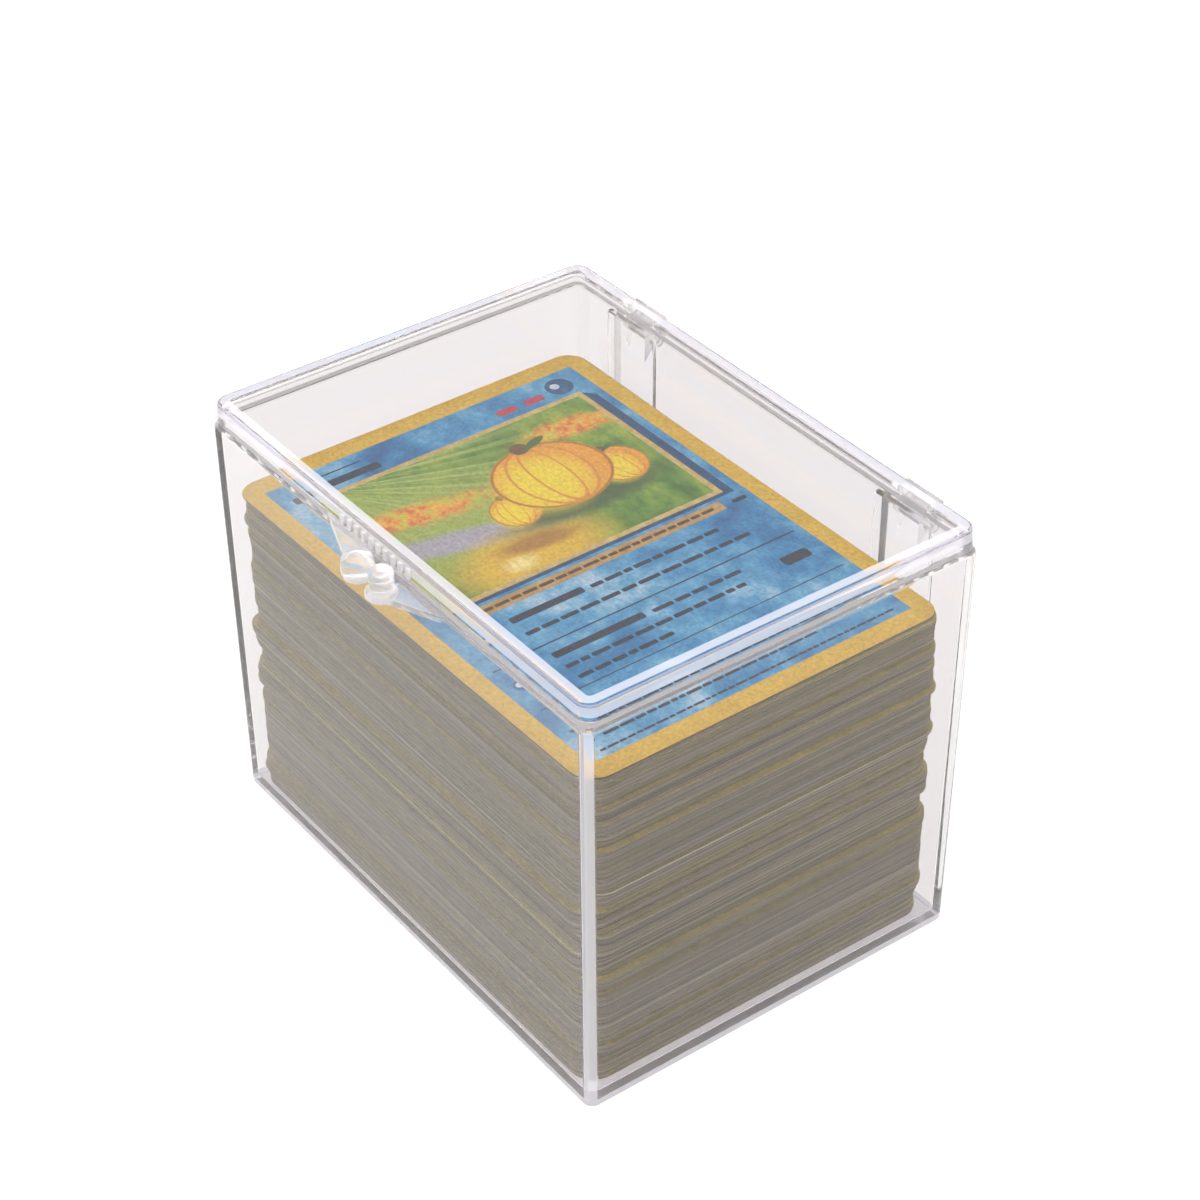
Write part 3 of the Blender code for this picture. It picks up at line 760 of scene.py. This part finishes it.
def card_point(across, up, z):
    """Place on the top card, in millimetres from its centre: across runs along Y, up along -X."""
    centre = centre_of("card_top")
    c, s = math.cos(TOP_CARD_TURN), math.sin(TOP_CARD_TURN)
    x, y = -up * MM, across * MM
    return Vector((centre.x + c * x - s * y, centre.y + s * x + c * y, z))


def add_ink(bm, points, layer, slot=0):
    """Thin raised patch of ink with the given outline of (across, up) points."""
    low = card_face_z() + (layer - 1) * INK
    face = bm.faces.new([bm.verts.new(card_point(u, v, low)) for u, v in points])
    lifted = bmesh.ops.extrude_face_region(bm, geom=[face])["geom"]
    bmesh.ops.translate(bm, verts=[g for g in lifted if isinstance(g, bmesh.types.BMVert)], vec=(0, 0, INK))
    for f in {f for g in lifted if isinstance(g, bmesh.types.BMVert) for f in g.link_faces}:
        f.material_index = slot
    face.material_index = slot


def rect(u0, v0, u1, v1):
    return [(u0, v0), (u1, v0), (u1, v1), (u0, v1)]


def bar(u0, u1, v, height):
    """Bar with softened corners, centred on height v."""
    half, r = height / 2, height / 4
    points = []
    for quarter, (u, w) in enumerate(((u1 - r, v + half - r), (u0 + r, v + half - r),
                                      (u0 + r, v - half + r), (u1 - r, v - half + r))):
        turn = arc(3, 90 * quarter, 90 * quarter + 90)
        points += [(u + r * math.cos(a), w + r * math.sin(a)) for a in turn]
    return points


def disc(u, v, radius, steps=28):
    return [(u + radius * math.cos(a), v + radius * math.sin(a)) for a in arc(steps, 0, 360)[:-1]]


def add_row(bm, u0, u1, v, height, layer, slot):
    """A row of plain bars of mixed lengths, filling u0 to u1."""
    u = u0
    while u < u1 - 1.5 * height:
        length = rng.uniform(1.6, 4.6) * height
        end = min(u + length, u1)
        add_ink(bm, bar(u, end, v, height), layer, slot)
        u = end + 0.5 * height


def finish_ink(name, bm, mats):
    bmesh.ops.recalc_face_normals(bm, faces=bm.faces[:])
    ob = piece(name, bm, mats, smooth=0)
    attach(ob, "deck")


def build_top_card(edge, border):
    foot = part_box("card_top")[0].z
    bm = bmesh.new()
    centre = centre_of("card_top")
    add_card(bm, (centre.x, centre.y), TOP_CARD_TURN, foot, card_face_z() - foot)
    card = piece("top_card_body", bm, [edge, border], smooth=0)
    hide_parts("card_top")
    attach(card, "deck")


def build_card_print():
    """Blue field, framed picture, caption strip, and plain bars where type would stand."""
    blues = ((0.32, (0.015, 0.12, 0.31)), (0.45, (0.04, 0.24, 0.48)),
             (0.56, (0.12, 0.38, 0.60)), (0.70, (0.46, 0.62, 0.74)))
    blue = printed("card_blue_field_look", blues, 95.0, 7.0)
    bm = bmesh.new()
    add_ink(bm, rect(-28.4, -40.6, 28.4, 40.4), 1)
    finish_ink("card_blue_field", bm, [blue])

    frame_gold = printed("card_frame_gold", ((0.3, (0.50, 0.36, 0.10)), (0.7, (0.66, 0.50, 0.20))), 500.0)
    shade = printed("card_drop_shade", ((0.3, (0.008, 0.045, 0.12)), (0.7, (0.015, 0.09, 0.22))), 300.0)
    caption = printed("card_caption_look", ((0.3, (0.40, 0.24, 0.07)), (0.7, (0.58, 0.37, 0.13))), 260.0)
    bm = bmesh.new()
    add_ink(bm, rect(-25.3, -2.7, 25.2, 33.4), 2, 0)
    add_ink(bm, [(25.2, -2.7), (26.7, -3.5), (26.9, 31.2), (25.2, 33.0)], 2, 1)
    add_ink(bm, [(-24.4, -3.5), (26.7, -3.5), (25.2, -2.7), (-25.3, -2.7)], 2, 1)
    add_ink(bm, rect(-23.4, -6.5, 22.9, -4.2), 2, 2)
    finish_ink("card_picture_frame", bm, [frame_gold, shade, caption])

    bm = bmesh.new()
    add_ink(bm, rect(-24.3, -1.7, 24.2, 32.4), 3)
    finish_ink("card_picture", bm, [picture()])

    dark = printed("card_dark_ink", ((0.3, (0.012, 0.02, 0.04)), (0.7, (0.03, 0.045, 0.07))), 900.0)
    red = printed("card_red_ink", ((0.3, (0.45, 0.03, 0.05)), (0.7, (0.62, 0.07, 0.08))), 900.0)
    brown = printed("card_brown_ink", ((0.3, (0.07, 0.035, 0.012)), (0.7, (0.12, 0.06, 0.02))), 900.0)
    deep = printed("card_deep_blue_ink", ((0.3, (0.008, 0.06, 0.16)), (0.7, (0.03, 0.14, 0.30))), 500.0)
    pale = printed("card_pale_ink", ((0.3, (0.50, 0.58, 0.64)), (0.7, (0.70, 0.74, 0.78))), 500.0)
    bm = bmesh.new()
    add_ink(bm, bar(-26.2, -11.6, 35.5, 1.7), 3, DARK)
    add_ink(bm, bar(-22.0, -13.6, 38.0, 0.3), 3, DARK)
    add_ink(bm, bar(10.8, 14.4, 35.7, 1.6), 3, RED)
    add_ink(bm, bar(16.0, 19.6, 35.7, 1.6), 3, RED)
    add_ink(bm, disc(23.4, 36.5, 2.35), 3, DEEP)
    add_ink(bm, disc(22.8, 36.9, 0.8), 4, PALE)
    add_row(bm, -22.6, 22.0, -5.35, 0.7, 3, BROWN)
    add_ink(bm, bar(-19.6, -6.6, -9.7, 1.45), 2, DARK)
    add_row(bm, -5.4, 19.0, -9.9, 0.85, 2, DARK)
    add_row(bm, -19.6, 21.8, -13.5, 0.85, 2, DARK)
    add_ink(bm, rect(-27.0, -17.2, 27.0, -16.9), 2, DARK)
    add_ink(bm, bar(-19.6, -3.4, -19.9, 1.45), 2, DARK)
    add_row(bm, -2.0, 14.2, -20.1, 0.85, 2, DARK)
    add_row(bm, -19.6, 12.8, -23.0, 0.85, 2, DARK)
    add_row(bm, -19.6, -2.8, -25.9, 0.85, 2, DARK)
    add_ink(bm, bar(20.4, 25.4, -22.3, 2.2), 2, DARK)
    add_ink(bm, rect(-27.0, -28.1, 27.0, -27.9), 2, DARK)
    for u, v in ((-24.0, -11.4), (-25.6, -21.8), (-22.6, -21.8)):
        add_ink(bm, disc(u, v, 1.2), 2, DEEP)
        add_ink(bm, disc(u - 0.2, v + 0.2, 0.55), 3, PALE)
    add_row(bm, -26.5, 26.5, -34.2, 0.6, 2, DARK)
    add_row(bm, -24.0, 14.0, -36.6, 0.6, 2, DARK)
    add_row(bm, -26.5, 26.5, -39.2, 0.45, 2, DARK)
    add_ink(bm, bar(24.6, 27.2, -5.6, 0.9), 2, DARK)
    finish_ink("card_plain_bars", bm, [dark, red, brown, deep, pale])


# ---------------------------------------------------------------- studio

def studio():
    bm = bmesh.new()
    bmesh.ops.create_grid(bm, x_segments=8, y_segments=8, size=3.0,
                          matrix=Matrix.Translation((0, 0, -0.02 * MM)))
    mat, tree, shader = material("pale_floor")
    field = noise(tree, object_coords(tree), 3.0, 2.0)
    tones = ramp(tree, ((0.3, (0.17, 0.17, 0.17)), (0.7, (0.19, 0.19, 0.19))))
    tree.links.new(field, tones.inputs["Fac"])
    tree.links.new(tones.outputs["Color"], shader.inputs["Base Color"])
    shader.inputs["Roughness"].default_value = 0.8
    shader.inputs["Emission Color"].default_value = (1.0, 0.99, 0.98, 1.0)
    shader.inputs["Emission Strength"].default_value = 0.86
    floor = piece("studio_floor", bm, [mat], smooth=0)
    studio_world()
    for name, place, size, power in (("overhead_softbox", (0.05, -0.15, 1.1), 1.6, 14.0),
                                     ("front_softbox", (0.9, -0.9, 0.7), 0.8, 1.0)):
        light = bpy.data.lights.new(name, "AREA")
        light.shape = "SQUARE"
        light.size = size
        light.energy = power
        ob = bpy.data.objects.new(name, light)
        bpy.context.scene.collection.objects.link(ob)
        ob.location = place
        ob.rotation_euler = (Vector(place) - Vector((0, 0, 0.04))).to_track_quat("Z", "Y").to_euler()


def studio_world():
    """White tent that is open, and so darker, behind the box."""
    world = bpy.data.worlds.new("studio_world")
    bpy.context.scene.world = world
    world.use_nodes = True
    tree = world.node_tree
    behind = Vector((-0.64, 0.48, 0.60)).normalized()
    coord = tree.nodes.new("ShaderNodeTexCoord")
    toward = node(tree, "ShaderNodeVectorMath", operation="DOT_PRODUCT")
    tree.links.new(coord.outputs["Generated"], toward.inputs[0])
    toward.inputs[1].default_value = behind
    opening = node(tree, "ShaderNodeMapRange", interpolation_type="SMOOTHSTEP")
    tree.links.new(toward.outputs["Value"], opening.inputs["Value"])
    for key, number in (("From Min", math.cos(math.radians(36))), ("From Max", math.cos(math.radians(17))),
                        ("To Min", 1.0), ("To Max", 0.55)):
        opening.inputs[key].default_value = number
    background = tree.nodes["Background"]
    background.inputs["Color"].default_value = (1.0, 0.995, 0.99, 1.0)
    tree.links.new(opening.outputs["Result"], background.inputs["Strength"])


def camera():
    level = math.cos(CAMERA_ELEVATION)
    back = Vector((math.sin(CAMERA_AZIMUTH) * level, -math.cos(CAMERA_AZIMUTH) * level,
                   math.sin(CAMERA_ELEVATION)))
    right = Vector((0, 0, 1)).cross(back).normalized()
    up = back.cross(right)
    c, s = math.cos(CAMERA_ROLL), math.sin(CAMERA_ROLL)
    right, up = c * right + s * up, c * up - s * right
    data = bpy.data.cameras.new("main_camera")
    data.sensor_width = 36.0
    data.lens = CAMERA_LENS
    data.clip_start = 0.02
    data.clip_end = 20.0
    ob = bpy.data.objects.new("main_camera", data)
    bpy.context.scene.collection.objects.link(ob)
    turn = Matrix((right, up, back)).transposed().to_4x4()
    ob.matrix_world = Matrix.Translation(CAMERA_PLACE) @ turn
    bpy.context.scene.camera = ob


def light_paths():
    """Light runs a long way inside clear plastic before it comes out."""
    cycles = bpy.context.scene.cycles
    cycles.max_bounces = 64
    cycles.glossy_bounces = 48
    cycles.transmission_bounces = 48
    cycles.transparent_max_bounces = 16


camera()
studio()
light_paths()
bpy.context.scene.view_settings.view_transform = "Standard"
# Clear styrene, then copies of it: a whitened one that paints bright strips, a darker lavender one that
# paints shade lines, a whitened frosted one (painted light on the rim and floor, frosted look on lugs,
# flanges and posts), and the hinge styrene.
shell_looks = [styrene("clear_styrene", (0.90, 0.88, 0.885), 0.985, 0.03),
               styrene("styrene_painted_light_edge", (0.87, 0.85, 0.91), 0.55, 0.22),
               styrene("styrene_painted_shade_line", (0.60, 0.57, 0.74), 0.60, 0.15),
               styrene("frosted_and_lit_styrene", (0.95, 0.925, 0.93), 0.80, 0.12),
               styrene("hinge_styrene", (0.95, 0.94, 0.95), 0.92, 0.17, 1.22, 0.10)]
edge_look = card_edge()
border_look = printed("card_gold_border",
                      ((0.3, (0.68, 0.42, 0.035)), (0.7, (0.78, 0.50, 0.06))), 300.0)
# Darker, duller copy of the gold border print for the top and bottom faces of the stacked cards: painted
# shade on the ledges between them.
shaded_ledge_look = printed("card_gold_ledge_painted_shade", ((0.3, (0.42, 0.34, 0.09)), (0.7, (0.58, 0.46, 0.14))), 300.0)
build_base(shell_looks)
build_lid(shell_looks)
build_deck(edge_look, shaded_ledge_look)
build_top_card(edge_look, border_look)
build_card_print()
